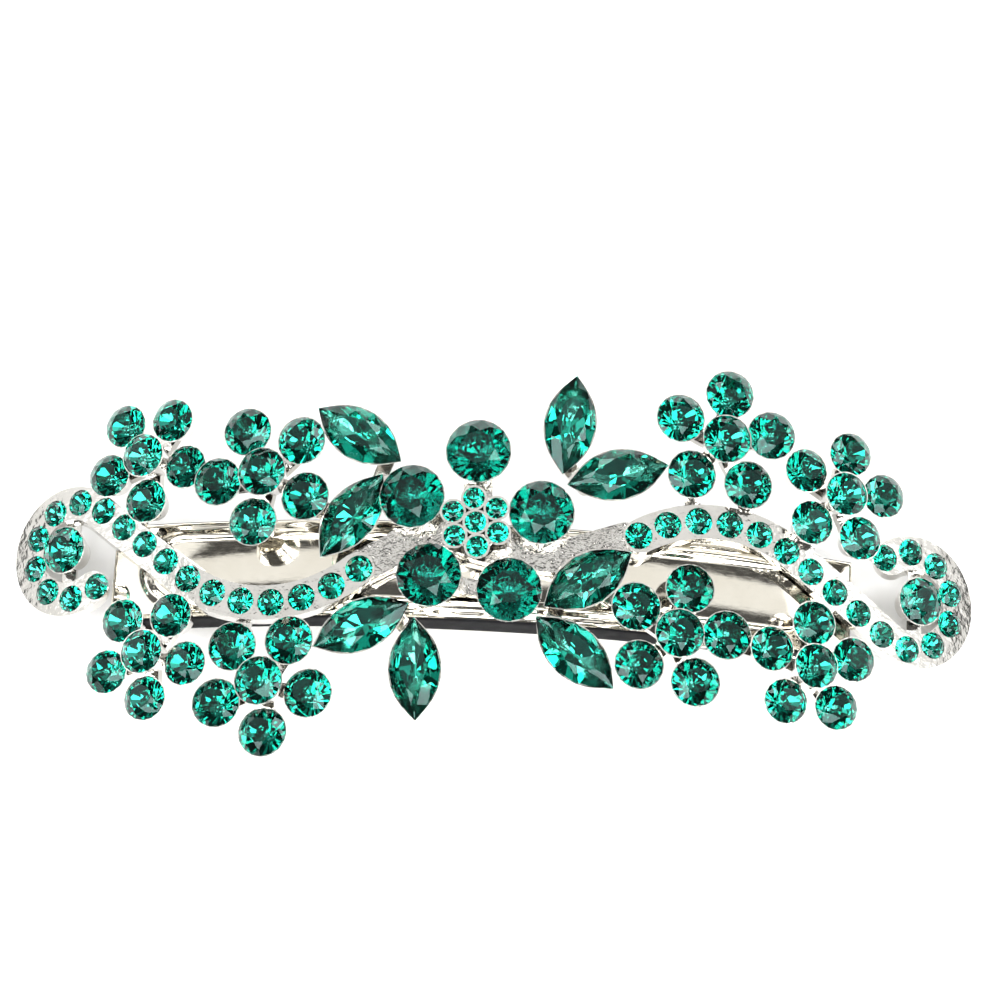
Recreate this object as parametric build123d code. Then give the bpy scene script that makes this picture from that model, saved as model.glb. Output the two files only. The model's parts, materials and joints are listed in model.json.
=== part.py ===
from build123d import *
import math
import os

# Rhinestone hair clip: an openwork cast ornament, set with glass stones, soldered to a French
# barrette clip. Millimetres. +X runs along the clip from its hinge to its clasp, +Z out of the
# stones. The origin is on the flat underside of the swing arm, under the middle of the clip.
# The ornament follows an arch about an axis along Y. A place on it is (u, v, h): u along the
# arch, v along Y, and h above the arch, which is the level of the petal stones' girdles.

# ---- Stones ----
petal_large = 4.7
petal_small = 4.3
loop_stone = 4.7
centre_stone = 6.2
scroll_stone = 2.7
tiny_stone = 2.1
navette_length = 10.0
navette_width = 5.0
navette_tip_angle = 42.0
pavilion_share = 0.42
girdle_share = 0.05
crown_share = 0.20
table_share = 0.27
navette_pavilion = 1.7
navette_girdle = 0.2
navette_crown = 1.0
navette_table_share = 0.55
navette_keel_share = 0.12

# ---- Settings ----
cup_wall = 0.12
cup_lip = 0.04
cup_floor = 0.45
tiny_cup_wall = 0.22
cup_taper = 0.62
glue_gap = 0.03
spoke_width = 1.5
spoke_height = 0.9
leaf_bar_share = 0.35
hub_raise = 1.0

# ---- Arch and ornament ----
# loop_end holds the left scroll's value under 1 and the right one's under -1.
arch_radius = 95.0
ornament_offset = (1.0, 1.65)
scroll_level = -1.2
scroll_thickness = 1.8
scroll_margin = 0.38
scroll_pitch = 3.2
loop_centre = (-44.0, 0.35)
loop_radius = 5.0
loop_start = -52.0
loop_end = {1: 54.0, -1: 57.0}
loop_stone_level = -0.7
loop_stone_shift = -0.9
straight_length = 12.6
bend_radius = 14.8
left_scroll_count = 18
right_scroll_count = 17
sliver = 0.04
large_flower_ring = 4.9
small_flower_ring = 4.5
tiny_ring = 2.45
tiny_level = 1.3
tiny_turn = 37.0
leaf_level = -0.5
centre_level = 0.35
branch_thickness = 1.6

# name: (u, v, h, turn of the first petal, stone size, petal ring radius)
flowers = {
    "upper_left_outer": (-35.7, 9.2, -0.3, 57, petal_small, small_flower_ring),
    "upper_left_inner": (-22.4, 6.7, 0.7, 44, petal_large, large_flower_ring),
    "lower_left_outer": (-33.8, -11.1, 0.0, 58, petal_small, small_flower_ring),
    "lower_left_inner": (-21.3, -14.2, 0.0, 60, petal_large, large_flower_ring),
    "upper_right_inner": (22.8, 12.7, 0.0, 14, petal_large, large_flower_ring),
    "upper_right_outer": (35.4, 8.8, 0.0, 9, petal_small, small_flower_ring),
    "lower_right_inner": (19.1, -7.3, -0.4, 6, petal_large, large_flower_ring),
    "lower_right_outer": (32.6, -9.2, 0.6, 18, petal_small, small_flower_ring),
}
# name: two navettes, each (u, v, turn)
leaves = {
    "upper_left": [(-13.4, 11.1, -32), (-13.6, 2.8, 56)],
    "upper_right": [(7.4, 13.0, 85), (12.4, 8.3, 16)],
    "lower_left": [(-11.9, -8.2, 26), (-6.3, -12.4, 94)],
    "lower_right": [(10.0, -2.5, 36), (9.1, -9.9, -40)],
}
# name: (u, v)
centre_stones = {
    "top": (-1.4, 9.5),
    "left": (-7.6, 4.65),
    "right": (5.1, 3.65),
    "lower_left": (-5.45, -3.2),
    "lower_right": (2.4, -4.3),
}
tiny_centre = (-1.2, 2.05)
# name: bars (from, to) that tie a flower's foot to the casting beside it
flower_links = {
    "upper_left_outer": [((-35.5, 4.9), (-37.0, 1.5))],
    "upper_left_inner": [((-18.2, 4.5), (-15.2, 3.2)), ((-27.0, 6.0), (-31.4, 8.2))],
    "lower_left_outer": [((-31.5, -7.4), (-31.2, -3.2))],
    "lower_left_inner": [((-24.6, -10.6), (-23.5, -5.9)), ((-18.9, -10.1), (-19.3, -5.8))],
    "upper_right_inner": [((19.7, 9.0), (20.0, 5.2)), ((25.4, 8.6), (25.2, 4.6))],
    "upper_right_outer": [((32.3, 5.7), (31.6, 1.8)), ((37.4, 4.9), (40.2, 3.9))],
    "lower_right_inner": [((15.0, -4.9), (12.0, -3.4)), ((23.8, -6.8), (28.3, -7.6))],
    "lower_right_outer": [((32.6, -5.0), (34.6, -1.2))],
}
# (from, to, width): the bars of the cast branch that joins the two scrolls and the large cups
branch_bars = [
    ((-12.4, -2.1), (-8.6, 0.0), 3.4),
    ((-8.6, 0.0), (-3.6, 1.6), 3.6),
    ((-3.6, 1.6), (2.2, 0.1), 3.8),
    ((2.2, 0.1), (7.2, -0.2), 3.4),
    ((7.2, -0.2), (13.4, 2.2), 3.2),
    ((-1.2, 2.05), (-1.4, 9.5), 2.8),
    ((-7.6, 4.65), (-3.2, 1.6), 2.6),
    ((5.1, 3.65), (3.0, 0.2), 2.6),
    ((-5.45, -3.2), (-3.6, 1.0), 2.6),
    ((2.4, -4.3), (2.6, 0.2), 2.6),
    ((-5.45, -3.2), (2.4, -4.3), 1.6),
]

# ---- Clip ----
clip_length = 76.0
clip_width = 10.0
plate_gap = 0.4
plate_thickness = 0.7
plate_side_height = 4.0
bead_height = 0.3
bead_width = 1.0
bead_inset = 1.1
bead_end_gap = 3.0
solder_size = 2.6
solder_places = [(-33.1, -1.4), (-21.4, -5.1), (-3.6, 1.6), (2.2, 0.1), (14.9, 1.8), (32.8, 1.0)]
hinge_inset = 2.3
hinge_depth = 3.0
least_pin_height = 3.9
pin_diameter = 1.2
pin_head_diameter = 2.0
pin_head_height = 0.35
running_clearance = 0.05
arm_width = 5.2
arm_sheet = 0.6
arm_wall_height = 2.4
arm_tip_rise = 1.4
arm_tip_length = 8.0
arm_joggle_length = 2.5
arm_cheek_radius = 1.35
arm_ground_gap = 0.35
bar_sheet = 0.4
bar_eye_wall = 0.45
bar_eye_width = 3.4
bar_width = 5.0
bar_neck_length = 6.0
bar_radius = 165.0
bar_length = 58.0
bar_end_gap = 2.9
clasp_x = 32.6
clasp_length = 4.4
clasp_side_gap = 0.8
clasp_drop = 1.2
finger_thickness = 0.5
finger_length_x = 2.6
finger_spread = 1.5
finger_root_gap = 0.06
barb_reach = 0.35
barb_height = 1.1
finger_ground_gap = 0.1
window_clearance = 0.08
window_length = 3.4

# ---- Worked out ----
scroll_under = arch_radius + scroll_level + cup_lip - scroll_thickness
plate_outer = scroll_under - plate_gap
plate_inner = plate_outer - plate_thickness
side_inner = plate_outer - plate_side_height
half_angle = clip_length / 2 / plate_outer
pin_angle = -(half_angle - hinge_inset / plate_outer)
pin_radius = plate_outer - hinge_depth
# The tips of the loops are the lowest points of the ornament. The arm's underside is just below
# them, and far enough below the pin for the tension bar to clear the arm.
tip_u = -loop_centre[0] + abs(ornament_offset[0]) + loop_radius + scroll_stone
tip_z = arm_ground_gap - scroll_under * math.cos(tip_u / arch_radius)
arch_z = max(tip_z, least_pin_height - pin_radius * math.cos(pin_angle))
pin_x = pin_radius * math.sin(pin_angle)
pin_z = arch_z + pin_radius * math.cos(pin_angle)
clasp_width = clip_width - 2 * (plate_thickness + clasp_side_gap)
navette_arc_radius = (
    navette_length / 2 * math.sin(math.radians(navette_tip_angle))
    - navette_width / 2 * math.cos(math.radians(navette_tip_angle))
) / (1 - math.cos(math.radians(navette_tip_angle)))


def on_arch(u, v, h=0.0, turn=0.0):
    """Where (u, v, h) lies, with local +Z out of the arch and the piece turned about it."""
    u = u + ornament_offset[0]
    v = v + ornament_offset[1]
    angle = u / arch_radius
    radius = arch_radius + h
    place = Location((radius * math.sin(angle), v, arch_z + radius * math.cos(angle)))
    tilt = Location((0, 0, 0), (0, math.degrees(angle), 0))
    return place * tilt * Location((0, 0, 0), (0, 0, turn))


def turned(points):
    """A solid of revolution about Z from (radius, height) corners."""
    corners = [(radius, 0, height) for radius, height in points]
    return revolve(make_face(Polyline(*corners, close=True)), Axis.Z)


def round_stone(size):
    """A pointed-back chaton with its girdle at the origin."""
    radius = size / 2
    girdle = size * girdle_share / 2
    return turned([
        (0, -size * pavilion_share),
        (radius, -girdle),
        (radius, girdle),
        (size * table_share, girdle + size * crown_share),
        (0, girdle + size * crown_share),
    ])


def round_pocket(size):
    """The hollow that a round stone is glued into, open at the top."""
    radius = size / 2 + glue_gap
    girdle = size * girdle_share / 2
    return turned([
        (0, -size * pavilion_share - 2 * glue_gap),
        (radius, -girdle - glue_gap),
        (radius, size),
        (0, size),
    ])


def round_cup(size, wall=cup_wall):
    """The outside of a round stone's cup, narrower at its foot."""
    radius = size / 2 + wall
    foot = -size * pavilion_share - cup_floor
    return turned([(0, foot), (radius * cup_taper, foot), (radius, cup_lip), (0, cup_lip)])


def navette_outline(grow, share=1.0):
    """A pointed oval: an arc on each side that runs straight into the tips."""
    angle = math.radians(navette_tip_angle)
    arc_radius = (navette_arc_radius + grow) * share
    half_width = (navette_width / 2 + grow) * share
    half_length = (navette_length / 2 + grow / math.sin(angle)) * share
    rise = half_width - arc_radius
    joint = (arc_radius * math.sin(angle), rise + arc_radius * math.cos(angle))
    top = ThreePointArc((-joint[0], joint[1]), (0, half_width), joint)
    low = ThreePointArc((joint[0], -joint[1]), (0, -half_width), (-joint[0], -joint[1]))
    right = Polyline(joint, (half_length, 0), (joint[0], -joint[1]))
    left = Polyline((-joint[0], -joint[1]), (-half_length, 0), (-joint[0], joint[1]))
    return make_face([top, right, low, left])


def between(low_face, low_height, high_face, high_height):
    """A straight-sided solid from one outline to another above it."""
    return loft([Pos(0, 0, low_height) * low_face, Pos(0, 0, high_height) * high_face], ruled=True)


def navette_stone():
    """A navette with its girdle at the origin."""
    half = navette_girdle / 2
    full = navette_outline(0)
    back = between(navette_outline(0, navette_keel_share), -navette_pavilion, full, -half)
    belt = Pos(0, 0, -half) * extrude(full, navette_girdle)
    crown = between(full, half, navette_outline(0, navette_table_share), half + navette_crown)
    return back + belt + crown


def navette_pocket():
    """The hollow that a navette is glued into."""
    half = navette_girdle / 2
    full = navette_outline(glue_gap)
    keel = navette_outline(glue_gap, navette_keel_share)
    back = between(keel, -navette_pavilion - glue_gap, full, -half - glue_gap)
    return back + Pos(0, 0, -half - glue_gap) * extrude(full, navette_length)


def navette_cup():
    """The outside of a navette's cup."""
    foot = -navette_pavilion - cup_floor
    rim = navette_outline(cup_wall)
    return between(navette_outline(cup_wall, cup_taper), foot, rim, cup_lip)


def ring_places(count, radius):
    """Evenly spaced places on a circle."""
    return [Rot(0, 0, 360 * k / count) * Pos(radius, 0, 0) for k in range(count)]


def flower_setting(size, ring):
    """Five cups round a raised one, joined by spokes at their feet."""
    foot = -size * pavilion_share - cup_floor
    hub_radius = size / 2 + cup_wall
    hub = turned([
        (0, foot),
        (hub_radius * cup_taper, foot),
        (hub_radius, hub_raise + cup_lip),
        (0, hub_raise + cup_lip),
    ])
    body = hub
    spoke = Pos(ring / 2, 0, foot + spoke_height / 2) * Box(ring, spoke_width, spoke_height)
    for k, place in enumerate(ring_places(5, ring)):
        body = body + place * round_cup(size) + Rot(0, 0, 72 * k) * spoke
    for place in ring_places(5, ring):
        body = body - place * round_pocket(size)
    return body - Pos(0, 0, hub_raise) * round_pocket(size)


def flower_stones(size, ring):
    """The six stones of one flower."""
    stones = [place * round_stone(size) for place in ring_places(5, ring)]
    stones.append(Pos(0, 0, hub_raise) * round_stone(size))
    return stones


def plan(u, v):
    """Where a place on the ornament is seen from straight above."""
    u = u + ornament_offset[0]
    return (arch_radius * math.sin(u / arch_radius), v + ornament_offset[1])


def plan_bar(start, end, width):
    """The outline, from above, of a round-ended bar between two places on the ornament."""
    start = plan(*start)
    end = plan(*end)
    turn = math.degrees(math.atan2(end[1] - start[1], end[0] - start[0]))
    middle = Pos((start[0] + end[0]) / 2, (start[1] + end[1]) / 2)
    return middle * Rot(0, 0, turn) * SlotCenterToCenter(math.dist(start, end), width)


def on_ring(outline, outer, inner):
    """The part of the arch between two radii that lies under an outline."""
    column = extrude(outline, 3 * arch_radius)
    ring = Cylinder(outer, 4 * arch_radius) - Cylinder(inner, 4 * arch_radius)
    return column & (Pos(0, 0, arch_z) * Rot(90, 0, 0) * ring)


def scroll_point(distance, side):
    """A place on a scroll: round the loop, along the straight, then round the bend.

    The right scroll is worked out as a left one, and turned half round afterwards.
    """
    loop_turn = math.radians(360 - loop_end[side] + loop_start)
    loop_run = loop_radius * loop_turn
    if distance < loop_run:
        angle = math.radians(loop_start) - distance / loop_radius
        across = loop_centre[0] + loop_radius * math.cos(angle)
        along = loop_centre[1] + loop_radius * math.sin(angle)
        return (across, along)
    leave = math.radians(loop_end[side])
    heading = leave - math.pi / 2
    start = (
        loop_centre[0] + loop_radius * math.cos(leave),
        loop_centre[1] + loop_radius * math.sin(leave),
    )
    run = min(distance - loop_run, straight_length)
    corner = (start[0] + run * math.cos(heading), start[1] + run * math.sin(heading))
    if distance < loop_run + straight_length:
        return corner
    turn = (distance - loop_run - straight_length) / bend_radius
    middle = (corner[0] - bend_radius * math.sin(heading), corner[1] + bend_radius * math.cos(heading))
    angle = heading - math.pi / 2 + turn
    return (middle[0] + bend_radius * math.cos(angle), middle[1] + bend_radius * math.sin(angle))


def scroll_places(count, side):
    """Stone places along a scroll."""
    points = [scroll_point(k * scroll_pitch, side) for k in range(count)]
    return [(side * u, side * v) for u, v in points]


def scroll_outline(count, side):
    """The ribbon's outline from above: two edges beside the line of stones, and round ends."""
    half = scroll_stone / 2 + scroll_margin
    edges = {1: [], -1: []}
    ends = []
    steps = 2 * (count - 1)
    for k in range(steps + 1):
        distance = k * scroll_pitch / 2
        here = scroll_point(distance, side)
        ahead = scroll_point(distance + 0.01, side)
        heading = math.atan2(ahead[1] - here[1], ahead[0] - here[0])
        for edge in edges:
            across_u = here[0] - edge * half * math.sin(heading)
            across_v = here[1] + edge * half * math.cos(heading)
            edges[edge].append(plan(side * across_u, side * across_v))
        if k in (0, steps):
            out = -half if k == 0 else half
            tip_place = (here[0] + out * math.cos(heading), here[1] + out * math.sin(heading))
            ends.append(plan(side * tip_place[0], side * tip_place[1]))
    left = Spline(*edges[1])
    right = Spline(*edges[-1])
    first = ThreePointArc(edges[1][0], ends[0], edges[-1][0])
    last = ThreePointArc(edges[1][-1], ends[1], edges[-1][-1])
    return make_face([left, last, right, first])


def scroll(count, side):
    """One scroll: a ribbon of cups that curls round a larger cup, and its stones."""
    places = scroll_places(count, side)
    body = on_ring(scroll_outline(count, side), scroll_under + scroll_thickness, scroll_under)
    eye = (side * (loop_centre[0] + loop_stone_shift), side * loop_centre[1])
    ring_top = (side * loop_centre[0], side * (loop_centre[1] + loop_radius))
    ring_low = (side * loop_centre[0], side * (loop_centre[1] - loop_radius))
    web = plan_bar(ring_low, ring_top, spoke_width)
    body = body + on_ring(web, scroll_under + spoke_height, scroll_under)
    body = body + on_arch(*eye, loop_stone_level) * round_cup(loop_stone)
    body = body - on_arch(*eye, loop_stone_level) * round_pocket(loop_stone)
    body = body - Pos(0, 0, arch_z) * Rot(90, 0, 0) * Cylinder(scroll_under, 4 * arch_radius)
    for place in places:
        body = body - on_arch(*place, scroll_level) * round_pocket(scroll_stone)
    stones = [on_arch(*place, scroll_level) * round_stone(scroll_stone) for place in places]
    return body, stones, on_arch(*eye, loop_stone_level) * round_stone(loop_stone)


def arch_band(outer, inner, start, end, width):
    """A strip of the arch between two radii and two angles, centred on the clip's middle line."""
    def spot(radius, angle):
        return (radius * math.sin(angle), 0, arch_z + radius * math.cos(angle))
    middle = (start + end) / 2
    rim = ThreePointArc(spot(outer, start), spot(outer, middle), spot(outer, end))
    root = ThreePointArc(spot(inner, end), spot(inner, middle), spot(inner, start))
    sides = [
        Line(spot(outer, end), spot(inner, end)),
        Line(spot(inner, start), spot(outer, start)),
    ]
    face = make_face([rim, sides[0], root, sides[1]])
    return extrude(face, width / 2, dir=(0, 1, 0), both=True)


def across(radius, width, x, z):
    """A cylinder along Y."""
    return Pos(x, 0, z) * Rot(90, 0, 0) * Cylinder(radius, width)


def carved(body, others):
    """The body with every piece that it would run into by more than a sliver taken out of it."""
    for other in others:
        gap = body.bounding_box().min - other.bounding_box().max
        back = other.bounding_box().min - body.bounding_box().max
        if max(gap.X, gap.Y, gap.Z, back.X, back.Y, back.Z) < 0:
            shared = body & other
            if shared is not None and shared.volume > sliver:
                body = body - other
    return body


def largest(body):
    """The main solid of a body, without the crumbs that carving leaves."""
    return max(body.solids(), key=lambda solid: solid.volume)


# ---- Stones ----
stones = {}
castings = {}
for name, count, side in (("left", left_scroll_count, 1), ("right", right_scroll_count, -1)):
    ribbon, small_stones, eye_stone = scroll(count, side)
    castings[f"{name}_scroll"] = ribbon
    stones[f"{name}_scroll_stones"] = small_stones
    stones[f"{name}_loop_stone"] = [eye_stone]
for name, place in centre_stones.items():
    stones[f"{name}_large_stone"] = [on_arch(*place, centre_level) * round_stone(centre_stone)]
navette = navette_stone()
for name, pair in leaves.items():
    stones[f"{name}_leaf_stones"] = [on_arch(u, v, leaf_level, turn) * navette for u, v, turn in pair]
for name, (u, v, h, turn, size, ring) in flowers.items():
    spot = on_arch(u, v, h, turn)
    stones[f"{name}_flower_stones"] = [spot * stone for stone in flower_stones(size, ring)]
tiny_place = on_arch(*tiny_centre, tiny_level, tiny_turn)
tiny_spots = ring_places(6, tiny_ring) + [Pos(0, 0, 0)]
stones["tiny_flower_stones"] = [tiny_place * spot * round_stone(tiny_stone) for spot in tiny_spots]
all_stones = [stone for group in stones.values() for stone in group]


def cast(name, body, own_stones):
    """Adds a casting, cut clear of the castings before it and of every stone but its own."""
    foreign = [stone for stone in all_stones if all(stone is not own for own in own_stones)]
    castings[name] = largest(carved(body, list(castings.values()) + foreign))


# ---- Centre branch: textured bars that join the two scrolls and carry the large cups ----
outline = plan_bar(*branch_bars[0])
for start, end, width in branch_bars[1:]:
    outline = outline + plan_bar(start, end, width)
branch = on_ring(outline, scroll_under + branch_thickness, scroll_under)
for place in centre_stones.values():
    branch = branch + on_arch(*place, centre_level) * round_cup(centre_stone)
own = []
for name, place in centre_stones.items():
    branch = branch - on_arch(*place, centre_level) * round_pocket(centre_stone)
    own = own + stones[f"{name}_large_stone"]
cast("centre_branch", branch, own)

# ---- Tiny flower, raised over the middle of the branch ----
tiny_foot = -tiny_stone * pavilion_share - cup_floor
tiny_stem = arch_radius + tiny_level + tiny_foot - scroll_under - branch_thickness
tiny = Pos(0, 0, tiny_foot + spoke_height / 4) * Cylinder(tiny_ring, spoke_height / 2)
tiny = tiny + Pos(0, 0, tiny_foot - tiny_stem / 2) * Cylinder(tiny_ring / 2, tiny_stem)
for spot in tiny_spots:
    tiny = tiny + spot * round_cup(tiny_stone, tiny_cup_wall)
for spot in tiny_spots:
    tiny = tiny - spot * round_pocket(tiny_stone)
cast("tiny_flower", tiny_place * tiny, stones["tiny_flower_stones"])

# ---- Leaves ----
cup = navette_cup()
pocket = navette_pocket()
for name, pair in leaves.items():
    near_ends = []
    for u, v, turn in pair:
        reach = navette_length * leaf_bar_share
        step = (reach * math.cos(math.radians(turn)), reach * math.sin(math.radians(turn)))
        both = [(u + step[0], v + step[1]), (u - step[0], v - step[1])]
        near_ends.append(min(both, key=lambda point: math.hypot(*point)))
    stalk = plan_bar(near_ends[0], near_ends[1], spoke_width)
    pieces = on_ring(stalk, scroll_under + spoke_height, scroll_under)
    for u, v, turn in pair:
        pieces = pieces + on_arch(u, v, leaf_level, turn) * cup
    for u, v, turn in pair:
        pieces = pieces - on_arch(u, v, leaf_level, turn) * pocket
    cast(f"{name}_leaves", pieces, stones[f"{name}_leaf_stones"])

# ---- Flowers ----
settings = {}
for size, ring in ((petal_large, large_flower_ring), (petal_small, small_flower_ring)):
    settings[size] = flower_setting(size, ring)
for name, (u, v, h, turn, size, ring) in flowers.items():
    placed = on_arch(u, v, h, turn) * settings[size]
    link_top = arch_radius + h - size * pavilion_share - cup_floor + spoke_height / 2
    for start, end in flower_links[name]:
        placed = placed + on_ring(plan_bar(start, end, spoke_width), link_top, scroll_under)
    cast(f"{name}_flower", placed, stones[f"{name}_flower_stones"])

nodes = {name: [body] for name, body in castings.items()}
nodes.update(stones)

# ---- Base plate: an arched channel with a beaded top ----
base = arch_band(plate_outer, side_inner, -half_angle, half_angle, clip_width)
inside = clip_width - 2 * plate_thickness
base = base - arch_band(plate_inner, side_inner - 1, -half_angle - 0.1, half_angle + 0.1, inside)
bead_outer = SlotOverall(2 * plate_outer * math.sin(half_angle) - 2 * bead_end_gap,
                         clip_width - 2 * bead_inset)
bead_hole = SlotOverall(2 * plate_outer * math.sin(half_angle) - 2 * bead_end_gap - 2 * bead_width,
                        clip_width - 2 * bead_inset - 2 * bead_width)
bead = extrude(bead_outer - bead_hole, arch_z + plate_outer + 5)
bead = bead & arch_band(plate_outer + bead_height, plate_inner + 0.2, -half_angle, half_angle, clip_width)
base = base + bead
bore = pin_diameter / 2 + glue_gap
base = base - across(bore, clip_width + 2, pin_x, pin_z)
nodes["base_plate"] = [base]

# ---- Clasp: a bracket welded under the clasp end, and two pinch fingers ----
clasp_angle = math.asin(clasp_x / plate_outer)
bracket_low = arch_z + plate_inner * math.cos(clasp_angle + clasp_length / 2 / plate_outer) - clasp_drop
block = Pos(clasp_x, 0, bracket_low + 5) * Box(clasp_length, clasp_width, 10)
bracket = block & (Pos(0, 0, arch_z) * Rot(90, 0, 0) * Cylinder(plate_inner, clip_width))
nodes["clasp_bracket"] = [bracket]

finger_top = bracket_low - finger_root_gap
finger_height = finger_top - finger_ground_gap
outer_face = finger_spread / 2 + finger_thickness
barb_low = finger_ground_gap
for name, side in (("front", -1), ("back", 1)):
    strip = Pos(clasp_x, side * (finger_spread + finger_thickness) / 2, finger_ground_gap + finger_height / 2)
    blade = strip * Box(finger_length_x, finger_thickness, finger_height)
    corners = [
        (clasp_x - finger_length_x / 2, side * outer_face, barb_low),
        (clasp_x - finger_length_x / 2, side * (outer_face + barb_reach), barb_low + barb_height),
        (clasp_x - finger_length_x / 2, side * outer_face, barb_low + barb_height),
    ]
    barb = extrude(make_face(Polyline(*corners, close=True)), finger_length_x, dir=(1, 0, 0))
    nodes[f"{name}_clasp_finger"] = [blade + barb]

# ---- Swing arm: a straight channel that turns on the hinge pin ----
arm_start = pin_x - arm_cheek_radius
arm_end = clasp_x + window_length / 2 + 1.6
joggle_start = arm_end - arm_tip_length - arm_joggle_length
joggle_end = arm_end - arm_tip_length
floor_line = [
    (pin_x + 0.4, 0),
    (joggle_start, 0),
    (joggle_end, arm_tip_rise),
    (arm_end, arm_tip_rise),
]
lower = [(x, 0, z) for x, z in floor_line]
upper = [(x, 0, z + arm_sheet) for x, z in reversed(floor_line)]
floor_face = make_face(Polyline(*lower, *upper, close=True))
floor = extrude(floor_face, arm_width / 2, dir=(0, 1, 0), both=True)
wall_top = [(x, 0, z + arm_wall_height * (1 if z == 0 else 0.6)) for x, z in reversed(floor_line)]
cheek_in = (pin_x + 4.5, 0, arm_wall_height)
cheek_high = (pin_x + 1.6, 0, pin_z + arm_cheek_radius * 0.6)
wall_shape = [*lower, *wall_top[:-1], cheek_in, cheek_high, (pin_x, 0, pin_z), (pin_x - 0.6, 0, pin_z - 1.0)]
wall_face = make_face(Polyline(*wall_shape, close=True))
wall = extrude(wall_face, arm_width / 2, dir=(0, 1, 0), both=True)
wall = wall + across(arm_cheek_radius, arm_width, pin_x, pin_z)
hollow = arm_width - 2 * arm_sheet
cut_box = Pos((arm_start + arm_end) / 2, 0, 10) * Box(arm_end - arm_start + 20, hollow, 40)
arm = floor + (wall - cut_box)
window = 2 * (outer_face + barb_reach + window_clearance)
arm = arm - Pos(clasp_x, 0, 0) * Box(window_length, window, 10)
arm = arm - across(pin_diameter / 2 + running_clearance, arm_width + 2, pin_x, pin_z)
nodes["swing_arm"] = [largest(arm)]

# ---- Hinge pin: riveted over outside both sides of the base plate ----
pin = across(pin_diameter / 2, clip_width, pin_x, pin_z)
for side in (-1, 1):
    head = Pos(pin_x, side * (clip_width + pin_head_height) / 2, pin_z) * Rot(90, 0, 0)
    pin = pin + head * Cylinder(pin_head_diameter / 2, pin_head_height)
nodes["hinge_pin"] = [pin]

# ---- Tension bar: a bowed leaf spring with an eye round the hinge pin ----
eye_radius = pin_diameter / 2 + running_clearance + bar_eye_wall
end_x = pin_x + bar_length
end_z = arch_z + math.sqrt(plate_inner**2 - end_x**2) - bar_end_gap
start_z = pin_z + eye_radius - bar_sheet / 2
chord = math.dist((pin_x, start_z), (end_x, end_z))
bow = bar_radius - math.sqrt(bar_radius**2 - chord**2 / 4)
slope = math.atan2(end_z - start_z, end_x - pin_x)
middle = ((pin_x + end_x) / 2 - bow * math.sin(slope), 0, (start_z + end_z) / 2 + bow * math.cos(slope))
leaf_line = ThreePointArc((pin_x, 0, start_z), middle, (end_x, 0, end_z))
leaf_face = make_face([
    ThreePointArc(leaf_line @ 0 + Vector(0, 0, bar_sheet / 2), Vector(*middle) + Vector(0, 0, bar_sheet / 2),
                  leaf_line @ 1 + Vector(0, 0, bar_sheet / 2)),
    Line(leaf_line @ 1 + Vector(0, 0, bar_sheet / 2), leaf_line @ 1 - Vector(0, 0, bar_sheet / 2)),
    ThreePointArc(leaf_line @ 1 - Vector(0, 0, bar_sheet / 2), Vector(*middle) - Vector(0, 0, bar_sheet / 2),
                  leaf_line @ 0 - Vector(0, 0, bar_sheet / 2)),
    Line(leaf_line @ 0 - Vector(0, 0, bar_sheet / 2), leaf_line @ 0 + Vector(0, 0, bar_sheet / 2)),
])
leaf = extrude(leaf_face, bar_width / 2, dir=(0, 1, 0), both=True)
for side in (-1, 1):
    notch = Box(2 * bar_neck_length, (bar_width - bar_eye_width) / 2, 20)
    leaf = leaf - Pos(pin_x, side * (bar_width + bar_eye_width) / 4, pin_z) * notch
eye = across(eye_radius, bar_eye_width, pin_x, pin_z)
tension_bar = leaf + eye - across(pin_diameter / 2 + running_clearance, bar_width + 2, pin_x, pin_z)
nodes["tension_bar"] = [largest(tension_bar)]

# ---- Solder between the ornament's underside and the base plate ----
solder = []
for place in solder_places:
    solder.append(on_ring(Pos(*plan(*place)) * Circle(solder_size / 2), scroll_under, plate_outer) - base)
nodes["solder_pads"] = solder

os.makedirs("parts", exist_ok=True)
for name, solids in nodes.items():
    shape = solids[0] if len(solids) == 1 else Compound(children=[Compound(children=[s]) for s in solids])
    export_step(shape, f"parts/{name}.step")
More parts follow.
